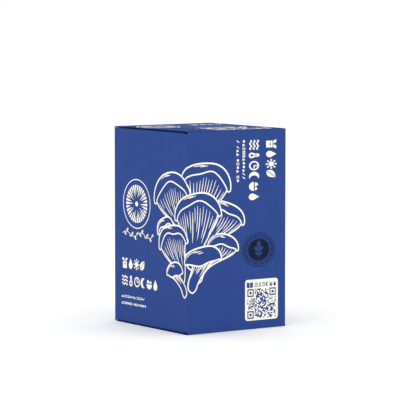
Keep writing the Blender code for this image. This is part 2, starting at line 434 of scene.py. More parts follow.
def make_flap(name, node, body, fold):
    """A flap on its solid's shape, with softened edges. The bottom panel's bare inside takes the printed
    blue, as painted shade.
    """
    axis = Vector((0, 1, 0)) if "dust" in name else Vector((1, 0, 0))
    mesh = bmesh.new()
    mesh.from_mesh(frame["nodes"][node].data)
    bmesh.ops.remove_doubles(mesh, verts=mesh.verts, dist=0.001 * MM)
    bmesh.ops.dissolve_limit(mesh, angle_limit=radians(1), verts=mesh.verts, edges=mesh.edges)
    sharp = [edge for edge in mesh.edges if edge.is_manifold and edge.calc_face_angle() > radians(60)]
    bmesh.ops.bevel(mesh, geom=sharp, offset=BEVEL, segments=2, affect="EDGES", clamp_overlap=True)
    mesh.normal_update()
    mark_sides(mesh, fold, axis)
    for vert in mesh.verts:
        vert.co.z = min(vert.co.z, CARTON_TOP - PRINT_ROOM)
    for face in mesh.faces:
        face.smooth = True
        # The bottom panel's inside is bare white board; it is given the printed blue as painted shade for the
        # dark gap under the walls.
        if name == "bottom_panel_board" and face.material_index == BARE:
            face.material_index = PRINTED
    data = mesh_data(name, mesh)
    data.set_sharp_from_angle(angle=radians(50))
    flap = add_object(name, data, *board_faces)
    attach(flap, body)
    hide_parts(node)


for part, fold in top_creases.items():
    make_flap(f"lid_{part}_board", f"lid_{part}", top_bodies[part], fold)
    mirrored = Vector((fold.x, -fold.y, CARTON_TOP - fold.z))
    make_flap(f"bottom_{part}_board", f"bottom_{part}", "carton", mirrored)


# --- Printing inks ---
# Cream and dark inks are laid on the blue by offset press: films too thin to feel, dense and matt, with crisp
# edges. Each print is drawn flat, in millimetres as complex numbers (1j is up), and then laid on its wall.

INK = 0.03 * MM
BRUSH_STEP = 0.35 * MM
RIBBON_POINTS = 4
STROKE_LIFTS = 19  # strokes that cross lie at different heights, so that none is hidden in another
STROKE_LIFT = 0.0015 * MM


def ink(name, low, high):
    """Offset ink under matt varnish: an even colour with a very faint mottle, smoother than the board."""
    material, tree, shader = finish(name, IOR=1.5, Specular_IOR_Level=0.08)
    tree.links.new(blend_colours(tree, grain(tree, MOTTLE / 2), low, high), shader.inputs["Base Color"])
    tree.links.new(spread(tree, grain(tree, MOTTLE / 3), 0.5, 0.62), shader.inputs["Roughness"])
    emboss(tree, shader, grain(tree, FIBRE), 0.008 * MM)
    return material


cream_ink = ink("offset ink, cream, matt varnish", "FBF5E6", "FFFAEC")
dark_ink = ink("offset ink, blue-black, matt varnish", "10182F", "131C36")
blue_ink = ink("offset ink, blue, matt varnish", "2E4788", "314A8C")


def on_lid(across, back, lift=0.0):
    """A point on the shut lid's outside."""
    return Vector((across, back, CARTON_TOP - PRINT_ROOM + lift))


def print_on(name, mesh, colour, surface=on_wall, body="carton", layers=1):
    """Lays a flat mesh, in metres, on a wall or the lid. layers counts the inks up to and with this one."""
    for vert in mesh.vertices:
        vert.co = surface(vert.co.x, vert.co.y, INK * layers + vert.co.z)
    mesh.update()
    made = add_object(name, mesh, colour)
    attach(made, body)


def filled(outlines, shift=0, turn=1, scale=1):
    """A flat mesh of closed outlines, shifted, turned and scaled; one that lies inside another is a hole."""
    curve = bpy.data.curves.new("outlines", "CURVE")
    curve.dimensions = "2D"
    curve.fill_mode = "BOTH"
    for outline in outlines:
        spline = curve.splines.new("POLY")
        spline.points.add(len(outline) - 1)
        spline.use_cyclic_u = True
        for point, corner in zip(spline.points, outline):
            place = (shift + turn * scale * corner) * MM
            point.co = (place.real, place.imag, 0, 1)
    drawn = bpy.data.objects.new("outlines", curve)
    bpy.context.scene.collection.objects.link(drawn)
    mesh = bpy.data.meshes.new_from_object(drawn.evaluated_get(bpy.context.evaluated_depsgraph_get()))
    bpy.data.objects.remove(drawn)
    for face in mesh.polygons:
        face.use_smooth = True
    return mesh


def joined(meshes):
    """One flat mesh of several, with every face looking up."""
    whole = bmesh.new()
    for mesh in meshes:
        whole.from_mesh(mesh)
    whole.normal_update()
    bmesh.ops.reverse_faces(whole, faces=[face for face in whole.faces if face.normal.z < 0])
    return mesh_data("print", whole)


def new_tree(name, **sockets):
    """An empty Geometry Nodes tree with the given named inputs, and its input and output nodes."""
    tree = bpy.data.node_groups.new(name, "GeometryNodeTree")
    tree.interface.new_socket("Geometry", in_out="INPUT", socket_type="NodeSocketGeometry")
    tree.interface.new_socket("Geometry", in_out="OUTPUT", socket_type="NodeSocketGeometry")
    for label, kind in sockets.items():
        tree.interface.new_socket(label, in_out="INPUT", socket_type=f"NodeSocket{kind}")
    return tree, add(tree, "NodeGroupInput")


def end_tree(tree, geometry, material):
    real = add(tree, "GeometryNodeRealizeInstances", {"Geometry": geometry})
    coloured = add(tree, "GeometryNodeSetMaterial", {"Geometry": real.outputs[0], "Material": material})
    add(tree, "NodeGroupOutput", {"Geometry": coloured.outputs[0]})


def grown(base, tree, **values):
    """The plain mesh that a tree makes from a base mesh."""
    holder = add_object("base", base)
    step = holder.modifiers.new("grown", "NODES")
    step.node_group = tree
    for item in tree.interface.items_tree:
        if item.in_out == "INPUT" and item.name in values:
            step[item.identifier] = values[item.name]
    mesh = bpy.data.meshes.new_from_object(holder.evaluated_get(bpy.context.evaluated_depsgraph_get()))
    bpy.data.objects.remove(holder)
    mesh.materials.clear()
    return mesh


def brush_tree():
    """Draws each edge path as a flat line of ink, as wide as its points' half_width says."""
    tree, given = new_tree("brush line", Points="Int", Step="Float")
    path = add(tree, "GeometryNodeMeshToCurve", {"Mesh": given.outputs["Geometry"]})
    even_path = {"Curve": path.outputs[0], "Length": given.outputs["Step"]}
    stepped = add(tree, "GeometryNodeResampleCurve", even_path, mode="LENGTH")
    level = add(tree, "GeometryNodeSetCurveNormal", {"Curve": stepped.outputs[0]}, mode="Z_UP")
    width = add(tree, "GeometryNodeInputNamedAttribute", {"Name": "half_width"}, data_type="FLOAT")
    nib = add(tree, "GeometryNodeCurvePrimitiveLine", {"Start": (-1, 0, 0), "End": (1, 0, 0)})
    nib_points = {"Curve": nib.outputs[0], "Count": given.outputs["Points"]}
    fine_nib = add(tree, "GeometryNodeResampleCurve", nib_points)
    line = {"Curve": level.outputs[0], "Profile Curve": fine_nib.outputs[0], "Scale": width.outputs[0]}
    ribbon = add(tree, "GeometryNodeCurveToMesh", line)
    end_tree(tree, ribbon.outputs[0], cream_ink)
    return tree


line_brush = brush_tree()


def brushed(stretches):
    """A flat mesh of ink lines from stretches of (point, width)."""
    base = bmesh.new()
    half_width = base.verts.layers.float.new("half_width")
    for k, stretch in enumerate(stretches):
        before = None
        for point, width in stretch:
            here = base.verts.new((point.real * MM, point.imag * MM, k % STROKE_LIFTS * STROKE_LIFT))
            here[half_width] = width / 2 * MM
            if before:
                base.edges.new((before, here))
            before = here
    return grown(mesh_data("paths", base), line_brush, Points=RIBBON_POINTS, Step=BRUSH_STEP)


def even(points, width):
    """A line of one width through the points."""
    return [(point, width) for point in points]


def arc(middle, across, up, start, stop, steps=24):
    """Points along part of an ellipse, in degrees."""
    turns = [radians(start + (stop - start) * k / steps) for k in range(steps + 1)]
    return [middle + complex(across * cos(turn), up * sin(turn)) for turn in turns]


def circle(middle, radius, width, steps):
    """A flat mesh of a circle drawn as a line."""
    return brushed([even(arc(middle, radius, radius, 0, 360, steps), width)])


def heading(lean):
    """The direction of an angle in degrees, as a complex number of length 1."""
    return complex(cos(radians(lean)), sin(radians(lean)))


# --- Mushroom cluster print ---
# A line drawing of a cluster of oyster mushrooms, cream on blue. It wraps the corner between the left and the
# front wall, so it is drawn on the unrolled board, with that corner at 0.

# Each mushroom of the cluster, from the rearmost to the nearest: the middle and half width of its cap, how
# high its crown rises, how high its lip arches as a share of that (below 0: it hangs), its tilt, where its
# stem ends, the stem's half width, and how many gills it has. Millimetres; 1j is up.
MUSHROOMS = [
    (23 + 149j, 34, 25, 0.62, -7, 12 + 106j, 10, 14),
    (-27 + 137j, 33, 25, 0.60, 11, -8 + 96j, 9, 13),
    (49 + 114j, 26, 18, 0.46, -13, 20 + 76j, 8, 11),
    (-38 + 102j, 16, 14, 0.40, 18, -16 + 66j, 6, 7),
    (12 + 118j, 33, 24, 0.62, 4, 8 + 66j, 11, 15),
    (47 + 84j, 20, 14, 0.20, -8, 16 + 52j, 8, 9),
    (-24 + 88j, 27, 21, 0.60, 12, -8 + 50j, 9, 12),
    (21 + 72j, 24, 15, -0.25, 5, 8 + 42j, 9, 8),
    (-21 + 58j, 15, 11, -0.30, 9, -3 + 37j, 7, 6),
]
CLUSTER_MIDDLE = -6 + 106j
CLUSTER_SHIFT = -1.5
CLUSTER_SCALE = 0.957
LINE = 1.45
HAIR = 0.35
ROLL = 0.075  # radius of a cap's rolled end, as a share of the cap's half width
CURL_TURN = 150
SHINE_FROM = 13  # caps broader than this show two short lines of shine
RIMMED_BELOW = 0.6  # caps whose lip arches less than this show a thin line along the crown
STEPS = [k / 60 for k in range(61)]


def bezier(a, b, c, d, t):
    s = 1 - t
    return a * s**3 + 3 * b * s * s * t + 3 * c * s * t * t + d * t**3


class Mushroom:
    """The lines of one mushroom. across runs from -1 at the cap's left end to 1 at its right."""

    def __init__(self, middle, half, crown, arch, tilt, base, stem, gills, wave):
        self.middle = middle
        self.turn = heading(tilt)
        self.half = half
        self.crown = crown
        self.arch = arch
        self.base = base
        self.stem = stem
        self.gills = gills
        self.wave = wave
        self.roll = ROLL * half

    def place(self, across, up):
        return self.middle + self.turn * complex(across * self.half, up)

    def top(self, across):
        """The crown: full and round, a little flatter in the middle than a half ellipse."""
        bulge = max(1 - abs(across) ** 2.5, 0) ** 0.5
        sway = 0.06 * sin(2.2 * across + self.wave)
        return self.place(across, self.crown * bulge * (1 + sway))

    def curl(self, hand, t):
        """The rolled-under end of the cap, from the crown's end round to the lip's; hand is -1 or 1."""
        turn = radians(CURL_TURN) * t
        rolled = complex(hand * self.roll * (cos(turn) - 1), -self.roll * sin(turn))
        return self.place(hand, 0) + self.turn * rolled

    def lip(self, across):
        """The lip: an arch that ripples, and meets the rolled ends."""
        bulge = max(1 - abs(across) ** 3, 0)
        ripple = 0.09 * sin(5 * across + self.wave) * bulge
        end = self.curl(1 if across > 0 else -1, 1)
        lean = abs(across) ** 3
        middle = self.place(across * 0.9, self.crown * (self.arch * bulge**0.8 + ripple))
        return middle * (1 - lean) + end * lean

    def side(self, hand, t):
        """The edge from the cap down to the stem's foot; hand is -1 or 1."""
        spread = 0.96 if self.arch > 0 else 0.6
        start = self.lip(hand * spread)
        end = self.base + hand * self.stem * 0.5
        drop = start - end
        lead = self.place(hand * spread * 0.62, -0.62 * self.half if self.arch > 0 else -0.2 * self.half)
        above = self.base + hand * self.stem + 1j * abs(drop) * 0.38
        return bezier(start, lead, above, end, t)

    def outline(self):
        """The closed outline, which hides what is behind it."""
        crown = [self.top(sin(pi * (t - 0.5))) for t in STEPS]
        right = [self.side(1, t) for t in STEPS]
        left = [self.side(-1, 1 - t) for t in STEPS]
        right_end = [self.curl(1, t) for t in STEPS]
        left_end = [self.curl(-1, 1 - t) for t in STEPS]
        if self.arch > 0:
            return crown + right_end + right + left + left_end
        lip_right = [self.lip(1 - 0.4 * t) for t in STEPS]
        lip_left = [self.lip(-0.6 - 0.4 * t) for t in STEPS]
        return crown + right_end + lip_right + right + left + lip_left + left_end

    def gill(self, share, t):
        """A point on the gill that starts at share (0 to 1) of the lip, t of the way down to the foot."""
        spread = 0.9 if self.arch > 0 else 0.55
        across = (2 * share - 1) * spread
        sides = self.side(-1, t) * (1 - share) + self.side(1, t) * share
        flat = self.side(-1, 0) * (1 - share) + self.side(1, 0) * share
        return sides + (self.lip(across) - flat) * (1 - t) ** 2.2

    def strokes(self, chance):
        """(points, start width, middle width, end width) of every line."""
        foot = [self.side(-1, 1), self.base - 4j, self.base - 4j, self.side(1, 1)]
        lines = [
            ([self.curl(-1, 1 - t) for t in STEPS], LINE, LINE, LINE),
            ([self.top(sin(pi * (t - 0.5))) for t in STEPS], LINE, LINE * 1.15, LINE),
            ([self.curl(1, t) for t in STEPS], LINE, LINE, LINE),
            ([self.lip(2 * t - 1) for t in STEPS], LINE, LINE, LINE),
            ([self.side(-1, t) for t in STEPS], LINE, LINE, LINE),
            ([self.side(1, t) for t in STEPS], LINE, LINE, LINE),
            ([bezier(*foot, t) for t in STEPS], LINE, LINE, LINE),
        ]
        if self.arch < RIMMED_BELOW:
            rim = []
            for across in (0.72 * t - 0.98 for t in STEPS):
                level = self.place(across, 0)
                rim.append(self.place(across * 0.91, 0) + (self.top(across) - level) * 0.84)
            lines.append((rim, HAIR, LINE * 0.55, HAIR))
        if self.half > SHINE_FROM:
            for middle, length, low in ((-0.25, 0.42, 0.8), (-0.08, 0.3, 0.69)):
                band = [middle + length * (t - 0.5) for t in STEPS]
                shine = [self.lip(across) * (1 - low) + self.top(across) * low for across in band]
                lines.append((shine, HAIR, LINE * 0.6, HAIR))
        for k in range(self.gills):
            share = (k + 0.5) / self.gills
            first = 0.05 + 0.05 * chance.random() if self.arch > 0 else 0.04
            reach = (0.52, 0.25, 0.38)[k % 3] + 0.12 * chance.random()
            path = [self.gill(share, first + (reach - first) * t) for t in STEPS]
            lines.append((path, HAIR, LINE * (0.72, 0.5, 0.6)[k % 3], HAIR * 0.6))
        return lines


def inside(point, outline):
    """Whether a point lies in a closed outline."""
    crossings = 0
    for a, b in zip(outline, outline[1:] + outline[:1]):
        if (a.imag > point.imag) != (b.imag > point.imag):
            crossing = a.real + (point.imag - a.imag) / (b.imag - a.imag) * (b.real - a.real)
            crossings += crossing > point.real
    return crossings % 2 == 1


def cluster_lines():
    """The visible stretches of every line, each a list of (point, width)."""
    chance = Random(4)
    mushrooms = [Mushroom(*facts, wave=1.7 * k) for k, facts in enumerate(MUSHROOMS)]
    outlines = [mushroom.outline() for mushroom in mushrooms]
    stretches = []
    for k, mushroom in enumerate(mushrooms):
        covers = outlines[k + 1 :]
        for points, start, middle, end in mushroom.strokes(chance):
            run = []
            for i, point in enumerate(points):
                t = i / (len(points) - 1)
                tip = start if t < 0.5 else end
                width = tip + (middle - tip) * min(4 * min(t, 1 - t), 1)
                if any(inside(point, cover) for cover in covers):
                    if len(run) > 1:
                        stretches.append(run)
                    run = []
                else:
                    place = CLUSTER_MIDDLE + (point - CLUSTER_MIDDLE) * CLUSTER_SCALE + CLUSTER_SHIFT
                    run.append((place, width))
            if len(run) > 1:
                stretches.append(run)
    return stretches


cluster = joined([brushed(cluster_lines())])
print_on("cluster_print", cluster, cream_ink)


# --- Medallion and sprig print ---
# On the left wall: a round mark with the ring of gills that a cap prints on paper when it drops its spores,
# and under it a thin sprig.

MEDALLION = -91.5 + 125j
MEDALLION_RADIUS = 25
GILL_RING = 19.5
GILL_COUNT = 30
GILL_LENGTHS = (0.34, 0.62, 0.48)
SPRIG = -118 + 93.5j
SPRIG_LENGTH = 56
SPRIG_LEAVES = 12


def spore_print():
    """Wedge-shaped gills, of three lengths in turn, that leave the stem's round mark clear in the middle."""
    wedges = []
    for k in range(GILL_COUNT):
        ahead = complex(cos(2 * pi * k / GILL_COUNT), sin(2 * pi * k / GILL_COUNT))
        half = 0.72 * pi / GILL_COUNT
        inner = GILL_RING * GILL_LENGTHS[k % 3]
        rim = [GILL_RING * complex(cos(half * s), sin(half * s)) * ahead for s in (-1, -0.5, 0, 0.5, 1)]
        wedges.append(rim + [inner * ahead * complex(1, 0.012), inner * ahead * complex(1, -0.012)])
    return wedges


def leaf(length, width):
    """The two halves of a leaf that grows from 0 along +X, parted by its midrib."""
    halves = []
    for hand in (-1, 1):
        edge = [complex(length * k / 12, hand * width / 2 * sin(pi * (k / 12) ** 0.8)) for k in range(13)]
        rib = [complex(length * k / 12, hand * width * 0.05) for k in range(11, 0, -1)]
        halves.append(edge + rib)
    return halves


def sprig():
    """A stem in a shallow wave with small leaves on alternate sides."""
    stem = [SPRIG + complex(SPRIG_LENGTH * k / 60, 2.2 * sin(2 * pi * k / 30)) for k in range(61)]
    meshes = [brushed([even(stem, 0.7)])]
    for k in range(SPRIG_LEAVES):
        hand = 1 if k % 2 else -1
        root = stem[round(60 * (k + 0.7) / SPRIG_LEAVES)]
        meshes.append(filled(leaf(5.2, 2.6), root, heading(hand * 48)))
    return meshes


medallion = [
    circle(MEDALLION, MEDALLION_RADIUS, 1.0, 96),
    filled(spore_print(), MEDALLION),
    filled([arc(0, 2.6, 2.6, 0, 345)], MEDALLION),
]
print_on("medallion_print", joined(medallion + sprig()), cream_ink)


# Each is drawn in a square of side 1 round 0. Rows of small plain marks stand beside them.


def disc(middle, radius, steps=24):
    return arc(middle, radius, radius, 0, 360 * (1 - 1 / steps), steps - 1)


def bar(start, stop, width):
    """A straight bar with square ends."""
    side = (stop - start) / abs(stop - start) * 1j * width / 2
    return [start - side, stop - side, stop + side, start + side]


def drop_sign():
    return [[0.5j] + arc(-0.16j, 0.34, 0.34, 28, -208, 30)]


def sun_sign():
    rays = [heading(45 * k) for k in range(8)]
    return [disc(0, 0.27)] + [bar(0.34 * ray, 0.53 * ray, 0.15) for ray in rays]


def carton_sign():
    body = [-0.36 - 0.5j, 0.36 - 0.5j, 0.36 + 0.12j, -0.36 + 0.12j]
    flap = [0.04 + 0.2j, 0.36 + 0.2j, 0.5 + 0.48j, 0.18 + 0.48j]
    return [body, bar(-0.14 - 0.1j, 0.14 - 0.1j, 0.1), flap, [-corner.conjugate() for corner in flap]]


def leaf_sign():
    return [[(corner - 0.5) * 1.15 * heading(50) for corner in half] for half in leaf(1, 0.62)]


def mist_sign():
    waves = []
    for level in (-0.33, 0.0, 0.33):
        line = [complex(k / 24 - 0.5, level + 0.07 * sin(4 * pi * k / 24)) for k in range(25)]
        waves.append([point - 0.075j for point in line] + [point + 0.075j for point in reversed(line)])
    return waves


def thermometer_sign():
    glass = arc(0.34j, 0.17, 0.17, 0, 180, 12) + arc(-0.22j, 0.29, 0.29, 126, 414, 24)
    return [glass, disc(-0.22j, 0.13), bar(0, 0.28j, 0.09)]


def clock_sign():
    hands = [-0.05 - 0.05j, 0.27 - 0.05j, 0.27 + 0.05j, 0.05 + 0.05j, 0.05 + 0.31j, -0.05 + 0.31j]
    return [disc(0, 0.48, 36), disc(0, 0.34, 36), hands]


def moon_sign():
    return [arc(0.04, 0.48, 0.48, 60, 300, 24) + arc(0.36, 0.43, 0.43, 259, 101, 20)]


def bowl_sign():
    bowl = arc(-0.02j, 0.46, 0.46, 180, 360, 20)
    caps = arc(-0.2 + 0.08j, 0.2, 0.3, 0, 180, 12), arc(0.24 + 0.08j, 0.18, 0.22, 0, 180, 12)
    return [bowl, *caps]


FIRST_SIGNS = (carton_sign, drop_sign, sun_sign, leaf_sign)
SECOND_SIGNS = (mist_sign, thermometer_sign, clock_sign, moon_sign, bowl_sign, drop_sign)


def sign_row(signs, start, stop, height):
    """Pictograms spaced along a line from start to stop, of the given height, upright across it."""
    ahead = (stop - start) / abs(stop - start)
    step = (stop - start) / len(signs)
    wide = min(height, abs(step) * 0.94)
    meshes = []
    for k, sign in enumerate(signs):
        middle = start + step * (k + 0.5) + ahead * 1j * height / 2
        outlines = []
        for outline in sign():
            outlines.append([complex(corner.real * wide, corner.imag * height) for corner in outline])
        meshes.append(filled(outlines, middle, ahead))
    return meshes


def mark_row(start, stop, height, chance):
    """A line of small plain marks, dot, slant, frame, wedge and bars, in uneven groups from start to stop."""
    ahead = (stop - start) / abs(stop - start)
    marks = (
        [disc(0, 0.42)],
        [bar(-0.3 - 0.45j, 0.3 + 0.45j, 0.3)],
        [bar(-0.46, 0.46, 0.96), bar(-0.16, 0.16, 0.4)],
        [[-0.5 - 0.5j, 0.5 - 0.5j, 0.5j]],
        [bar(-0.45 + 0.32j, 0.45 + 0.32j, 0.3), bar(-0.45 - 0.32j, 0.45 - 0.32j, 0.3)],
    )
    meshes = []
    place = height / 2
    while place < abs(stop - start):
        mark = chance.choice(marks)
        middle = start + ahead * (place + 0.5j * height)
        meshes.append(filled(mark, middle, ahead, height))
        place += height * (1.15 if chance.random() < 0.88 else 1.8)
    return joined(meshes)


chance = Random(11)
side_signs = sign_row(FIRST_SIGNS, -119.5 + 57j, -75.5 + 57j, 11)
side_signs += sign_row(SECOND_SIGNS, -119.5 + 39j, -51.5 + 39j, 11)
side_signs.append(mark_row(-120.5 + 26.5j, -78 + 26.5j, 2.6, chance))
side_signs.append(mark_row(-120.5 + 19.5j, -75 + 19.5j, 2.6, chance))
print_on("side_sign_print", joined(side_signs), cream_ink)

front_signs = sign_row(FIRST_SIGNS, 96.5 + 192.5j, 96.5 + 152j, 13)
front_signs += sign_row(SECOND_SIGNS, 75 + 192.5j, 75 + 129.5j, 13)
front_signs.append(mark_row(67.2 + 192.8j, 67.2 + 154j, 3.2, chance))
front_signs.append(mark_row(59.8 + 192.8j, 59.8 + 151j, 3.2, chance))
print_on("front_sign_print", joined(front_signs), cream_ink)

lid_signs = sign_row(SECOND_SIGNS, -16 - 60j, 52 - 60j, 16)
lid_signs += sign_row(FIRST_SIGNS, -16 - 38j, 40 - 38j, 16)
lid_signs += sign_row(FIRST_SIGNS, 14 + 33j, 56 + 33j, 10)
lid_signs += [mark_row(-16 - 17j, 48 - 17j, 5, chance)]
lid_ring = -32 + 28j
lid_signs += [circle(lid_ring, 22, 1.6, 72), filled(spore_print(), lid_ring, 1, 0.9)]
lid_signs.append(filled([disc(0, 2.6)], lid_ring))
print_on("lid_print", joined(lid_signs), cream_ink, on_lid, "lid")


# --- Right and back wall prints ---
# The two walls that face away are printed too: a large spore print over the care row on the right wall, and
# on the back wall three steps, each a pictogram in a ring beside lines of small marks.

RIGHT_MIDDLE = (wall_start(RIGHT) + wall_lengths[RIGHT] / 2) / MM
BACK_MIDDLE = (wall_start(BACK) + wall_lengths[BACK] / 2) / MM
LARGE_SCALE = 1.75
LARGE_RINGS = ((44, 1.4), (40.5, 0.6))  # radius and line width
STEP_LEVELS = (152, 106, 60)
STEP_RING = 17
STEP_SIGN = 19

large = RIGHT_MIDDLE + 124j
right_print = [
    brushed([even(arc(large, radius, radius, 0, 360, 120), width) for radius, width in LARGE_RINGS]),
    filled(spore_print(), large, 1, LARGE_SCALE),
    filled([disc(0, 4.4)], large),
]
right_print += sign_row(SECOND_SIGNS, large - 46 - 84j, large + 46 - 84j, 13)
right_print += [mark_row(large - 46 - 98j, large + 46 - 98j, 3, chance)]
print_on("right_wall_print", joined(right_print), cream_ink)

back_print = []
for level, sign in zip(STEP_LEVELS, (carton_sign, drop_sign, bowl_sign)):
    ring = BACK_MIDDLE - 32 + level * 1j
    back_print.append(circle(ring, STEP_RING, 1.2, 72))
    back_print.append(filled(sign(), ring, 1, STEP_SIGN))
    for drop, length in ((8, 54), (1, 54), (-6, 38)):
        start = ring + STEP_RING + 7 + (drop - 1.5) * 1j
        back_print.append(mark_row(start, start + length, 3, chance))
back_print.append(brushed([[(BACK_MIDDLE - 49 + 28j, 0.8), (BACK_MIDDLE + 49 + 28j, 0.8)]]))
back_print += sign_row(FIRST_SIGNS, BACK_MIDDLE - 22 + 12j, BACK_MIDDLE + 22 + 12j, 10)
print_on("back_wall_print", joined(back_print), cream_ink)


# --- Badge print ---
# On the front wall: a blue-black roundel with a leafy sprig in the board's blue, inside a ring of ticks
# between two thin lines.

BADGE = 87.5 + 80.6j
BADGE_ACROSS = 20.5
BADGE_UP = 17.4
BADGE_TICKS = 56
# Where each leaf leaves the stem, its direction in degrees, its length and its width.
BADGE_LEAVES = (
    (1.5j, 90, 8.6, 4.6),
    (-1j, 36, 7.4, 3.6),
    (-1j, 144, 7.4, 3.6),
    (-5j, 32, 5.6, 2.9),
    (-5j, 148, 5.6, 2.9),
)


def oval(share, steps=96):
    return arc(0, BADGE_ACROSS * share, BADGE_UP * share, 0, 360 * (1 - 1 / steps), steps - 1)


badge_shapes = [oval(1.0), oval(0.965), oval(0.70), oval(0.675), oval(0.64)]
for k in range(BADGE_TICKS):
    turn = 2 * pi * k / BADGE_TICKS
    ray = complex(BADGE_ACROSS * cos(turn), BADGE_UP * sin(turn))
    reach = 0.91 if k % 4 else 0.88
    badge_shapes.append(bar(ray * (0.77 if k % 4 else 0.74), ray * reach, 0.8 if k % 4 else 1.3))
print_on("badge_print", filled(badge_shapes, BADGE), dark_ink)

badge_leaves = [filled([bar(-8.5j, 2j, 0.9)], BADGE)]
for root, lean, length, width in BADGE_LEAVES:
    badge_leaves.append(filled(leaf(length, width), BADGE + root, heading(lean)))
print_on("badge_leaf_print", joined(badge_leaves), blue_ink, layers=2)


# --- Code panel print ---
# A cream panel with round corners, low on the front wall. It holds a booklet sign, small pictograms, and a
# random grid of blue squares with a framed square at three corners. The grid holds no message.

PANEL_LOW = 70.6 + 8.8j
PANEL_HIGH = 111.8 + 50.6j
PANEL_CORNER = 3.2
GRID_LOW = 73.4 + 10.6j
CELL = 1.32
GRID_COLUMNS = 27
GRID_ROWS = 23
FINDER_CELLS = 7


def rounded_panel(low, high, corner):
    """The outline of a panel with round corners."""
    left, right = low.real + corner, high.real - corner
    foot, top = low.imag + corner, high.imag - corner
    outline = []
    for x, y, start in ((right, foot, -90), (right, top, 0), (left, top, 90), (left, foot, 180)):
        outline += arc(complex(x, y), corner, corner, start, start + 90, 8)
    return outline


def maths(tree, operation, first, second):
    """The result of one Math node."""
    return add(tree, "ShaderNodeMath", {0: first, 1: second}, operation=operation).outputs[0]


def code_tree():
    """Squares on a random half of the grid's points, but none where a finder square stands."""
    tree, given = new_tree("code grid", Cell="Float", Columns="Int", Rows="Int", Finder="Float", Seed="Int")
    cell = given.outputs["Cell"]
    spot = add(tree, "GeometryNodeInputPosition")
    where = add(tree, "ShaderNodeSeparateXYZ", {"Vector": spot.outputs[0]})
    spans = []
    for axis, count in (("X", "Columns"), ("Y", "Rows")):
        last = maths(tree, "MULTIPLY", given.outputs[count], cell)
        edge = maths(tree, "MULTIPLY", given.outputs["Finder"], cell)
        near = maths(tree, "LESS_THAN", where.outputs[axis], edge)
        far = maths(tree, "GREATER_THAN", where.outputs[axis], maths(tree, "SUBTRACT", last, edge))
        spans.append((near, far))
    (near_x, far_x), (near_y, far_y) = spans
    low_left = maths(tree, "MULTIPLY", near_x, near_y)
    high_left = maths(tree, "MULTIPLY", near_x, far_y)
    high_right = maths(tree, "MULTIPLY", far_x, far_y)
    held = maths(tree, "MAXIMUM", maths(tree, "MAXIMUM", low_left, high_left), high_right)
    dice = add(tree, "FunctionNodeRandomValue", {"Seed": given.outputs["Seed"]}, data_type="FLOAT")
    score = maths(tree, "ADD", dice.outputs[1], held)
    kept = {"Mesh": given.outputs["Geometry"], "Selection": maths(tree, "LESS_THAN", score, 0.5)}
    points = add(tree, "GeometryNodeMeshToPoints", kept)
    square_sides = {"Size X": cell, "Size Y": cell, "Vertices X": 2, "Vertices Y": 2}
    square = add(tree, "GeometryNodeMeshGrid", square_sides)
    placed = {"Points": points.outputs[0], "Instance": square.outputs[0]}
    squares = add(tree, "GeometryNodeInstanceOnPoints", placed)
    end_tree(tree, squares.outputs[0], blue_ink)
    return tree


def code_points():
    """A loose point in the middle of each cell, measured from the grid's low corner."""
    cells = []
    for i in range(GRID_COLUMNS):
        cells += [((i + 0.5) * CELL * MM, (j + 0.5) * CELL * MM, 0) for j in range(GRID_ROWS)]
    mesh = bpy.data.meshes.new("cells")
    mesh.from_pydata(cells, [], [])
    return mesh


def finder(corner):
    """A square frame round a square, at a corner of the grid."""
    shapes = []
    for inset in (0, 1, 2):
        side = (FINDER_CELLS - 1 - 2 * inset) * CELL
        low = corner + complex(inset, inset) * CELL
        shapes.append([low, low + side, low + complex(side, side), low + side * 1j])
    return filled(shapes, GRID_LOW)


code = grown(
    code_points(),
    code_tree(),
    Cell=CELL * MM,
    Columns=GRID_COLUMNS,
    Rows=GRID_ROWS,
    Finder=float(FINDER_CELLS),
    Seed=3,
)
code.transform(Matrix.Translation((GRID_LOW.real * MM, GRID_LOW.imag * MM, 0)))
finder_side = (FINDER_CELLS - 1) * CELL
grid_end = complex(GRID_COLUMNS * CELL - finder_side, GRID_ROWS * CELL - finder_side)
booklet = [
    [72.6 + 42.6j, 76.2 + 42.0j, 76.2 + 47.4j, 72.6 + 48j],
    [76.8 + 42.0j, 80.4 + 42.6j, 80.4 + 48j, 76.8 + 47.4j],
]
code_shapes = [code, finder(0), finder(grid_end), finder(grid_end.imag * 1j)]
code_shapes += [filled(booklet)] + sign_row(SECOND_SIGNS, 82.2 + 42.6j, 110 + 42.6j, 4.9)
panel_outline = rounded_panel(PANEL_LOW, PANEL_HIGH, PANEL_CORNER)
print_on("panel_print", filled([panel_outline]), cream_ink)
print_on("code_print", joined(code_shapes), blue_ink, layers=2)


# --- Grow block ---
# Damp hardwood sawdust and bran, pressed to a brick and grown through by white mycelium. The bag gave it its
# round edges; its skin is lumpy and cottony, with brown specks of sawdust where the mycelium is thin.

BLOCK_ROUNDING = 7 * MM
BLOCK_STEP = 2 * MM
LUMP = 11 * MM
LUMP_DEPTH = 1.4 * MM


def soft_brick(low, high, rounding, step):
    """A brick's surface as a fine grid, with every edge rounded."""
    mesh = bmesh.new()
    size = high - low
    counts = [round(side / step) for side in size]
    verts = {}

    def corner(cell):
        if cell not in verts:
            flat = Vector([low[k] + size[k] * cell[k] / counts[k] for k in range(3)])
            middle = Vector([min(max(flat[k], low[k] + rounding), high[k] - rounding) for k in range(3)])
            verts[cell] = mesh.verts.new(middle + (flat - middle).normalized() * rounding)
        return verts[cell]

    for axis in range(3):
        across, up = (axis + 1) % 3, (axis + 2) % 3
        for end in (0, counts[axis]):
            for i in range(counts[across]):
                for j in range(counts[up]):
                    cells = []
                    for right, above in ((0, 0), (1, 0), (1, 1), (0, 1)):
                        cell = {axis: end, across: i + right, up: j + above}
                        cells.append(tuple(cell[k] for k in range(3)))
                    mesh.faces.new([corner(cell) for cell in cells])
    bmesh.ops.recalc_face_normals(mesh, faces=mesh.faces)
    mesh.normal_update()
    return mesh


